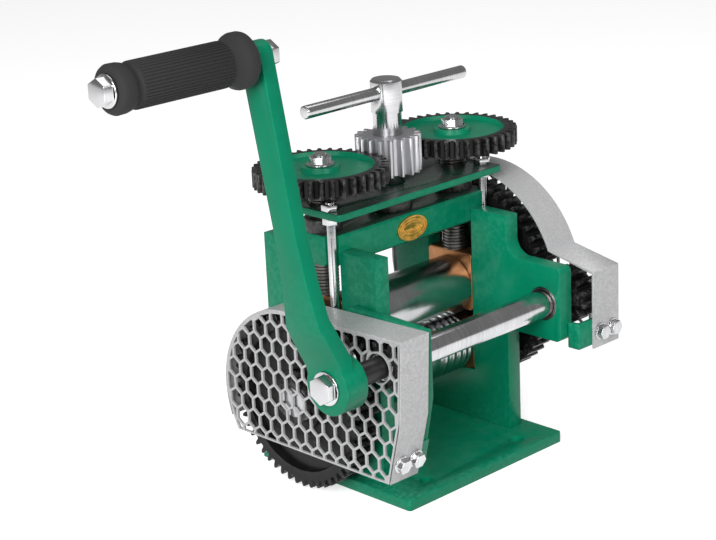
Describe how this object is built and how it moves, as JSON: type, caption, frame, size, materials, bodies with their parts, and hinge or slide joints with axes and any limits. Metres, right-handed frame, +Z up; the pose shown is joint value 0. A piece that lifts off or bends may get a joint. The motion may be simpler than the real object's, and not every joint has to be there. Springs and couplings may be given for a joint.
{
  "type": "jewellers rolling mill",
  "caption": "Hand-cranked rolling mill with geared rolls, a tee-bar height adjuster, honeycomb gear guards and a ribbed grip.",
  "frame": {"origin": "underside of the base, below the middle of the rolls", "axes": "+X along the rolls away from the crank, -Y towards the drive shaft at the front, +Z up"},
  "size_m": [0.2515, 0.1313, 0.218],
  "materials": {
    "green_paint": "gloss",
    "black_gear": "satin",
    "black_steel": "satin",
    "bright_steel": "polished",
    "roll_steel": "ground",
    "pinion_steel": "satin",
    "bronze": "satin",
    "guard_grey": "satin",
    "grip_rubber": "ribbed matte"
  },
  "bodies": {
    "mill_frame": {"base_plate": "green_paint", "side_frame_near": "green_paint", "side_frame_far": "green_paint", "near_shaft_bracket": "green_paint", "screw_beam": "green_paint", "top_plate": "green_paint", "screw_nut_near": "black_steel", "screw_nut_far": "black_steel", "tie_rods": "bright_steel", "tie_rod_nuts": "bright_steel", "lower_block_near": "bronze", "lower_block_far": "bronze", "shaft_bush_near": "bronze", "shaft_bush_far": "bronze", "idler_stud": "bright_steel", "near_guard_rim": "guard_grey", "near_guard_mesh": "guard_grey", "near_guard_screws": "bright_steel", "far_guard_lug": "green_paint", "far_guard_rim": "guard_grey", "far_guard_mesh": "guard_grey", "far_guard_screws": "bright_steel"},
    "drive": {"drive_shaft": "bright_steel", "near_pinion": "black_gear", "far_pinion": "black_gear", "crank_arm": "green_paint", "crank_bolt": "bright_steel", "grip_spindle": "bright_steel", "spindle_nut": "bright_steel"},
    "grip_body": {"grip": "grip_rubber"},
    "idler": {"idler_gear": "black_gear"},
    "lower_roll_set": {"lower_roll": "roll_steel", "lower_roll_gear": "black_gear", "lower_roll_nut": "bright_steel"},
    "upper_blocks": {"upper_block_near": "bronze", "upper_block_far": "bronze"},
    "upper_carrier": {"upper_roll_spacers": "bronze"},
    "upper_roll_set": {"upper_roll": "roll_steel", "upper_roll_gear": "black_gear", "upper_roll_nut": "bright_steel"},
    "screw_near": {"pressure_screw_near": "roll_steel", "top_gear_near": "black_gear", "top_gear_nut_near": "bright_steel"},
    "screw_far": {"pressure_screw_far": "roll_steel", "top_gear_far": "black_gear", "top_gear_nut_far": "bright_steel"},
    "adjuster": {"adjuster_post": "bright_steel", "adjuster_pinion": "pinion_steel", "tee_bar": "bright_steel", "post_collar": "black_steel"}
  },
  "joints": [
    {"name": "crank", "type": "hinge", "parent": "mill_frame", "child": "drive", "pos_m": [0, -0.05684, 0.0718], "axis": [1, 0, 0], "continuous": true},
    {"name": "grip_spin", "type": "hinge", "parent": "drive", "child": "grip_body", "pos_m": [0, -0.02944, 0.2065], "axis": [1, 0, 0], "continuous": true},
    {"name": "idler_spin", "type": "hinge", "parent": "mill_frame", "child": "idler", "pos_m": [0, -0.03812, 0.07066], "axis": [1, 0, 0], "continuous": true},
    {"name": "lower_roll_spin", "type": "hinge", "parent": "mill_frame", "child": "lower_roll_set", "pos_m": [0, 0, 0.0415], "axis": [1, 0, 0], "continuous": true},
    {"name": "block_lift", "type": "slide", "parent": "mill_frame", "child": "upper_blocks", "axis": [0, 0, 1], "range_m": [0, 0.004]},
    {"name": "roll_lift", "type": "hinge", "parent": "mill_frame", "child": "upper_carrier", "pos_m": [0, -0.04547, 0.0714], "axis": [1, 0, 0], "range_deg": [0, 5.05]},
    {"name": "upper_roll_spin", "type": "hinge", "parent": "upper_carrier", "child": "upper_roll_set", "pos_m": [0, 0, 0.0698], "axis": [1, 0, 0], "continuous": true},
    {"name": "screw_near_turn", "type": "hinge", "parent": "upper_blocks", "child": "screw_near", "pos_m": [-0.042, 0, 0.1], "axis": [0, 0, 1], "range_deg": [0, 960.5]},
    {"name": "screw_far_turn", "type": "hinge", "parent": "upper_blocks", "child": "screw_far", "pos_m": [0.042, 0, 0.1], "axis": [0, 0, 1], "range_deg": [0, 960.5]},
    {"name": "adjuster_turn", "type": "hinge", "parent": "mill_frame", "child": "adjuster", "pos_m": [0, 0, 0.15], "axis": [0, 0, 1], "range_deg": [-2026.7, 0]}
  ],
  "couplings": [
    {"joint": "idler_spin", "follows": "crank", "ratio": -1.0833},
    {"joint": "lower_roll_spin", "follows": "crank", "ratio": 0.25},
    {"joint": "upper_roll_spin", "follows": "crank", "ratio": -0.25},
    {"joint": "screw_near_turn", "follows": "block_lift", "rad_per_m": 4188.8},
    {"joint": "screw_far_turn", "follows": "block_lift", "rad_per_m": 4188.8},
    {"joint": "adjuster_turn", "follows": "block_lift", "rad_per_m": -8843},
    {"joint": "roll_lift", "follows": "block_lift", "rad_per_m": 21.975}
  ]
}
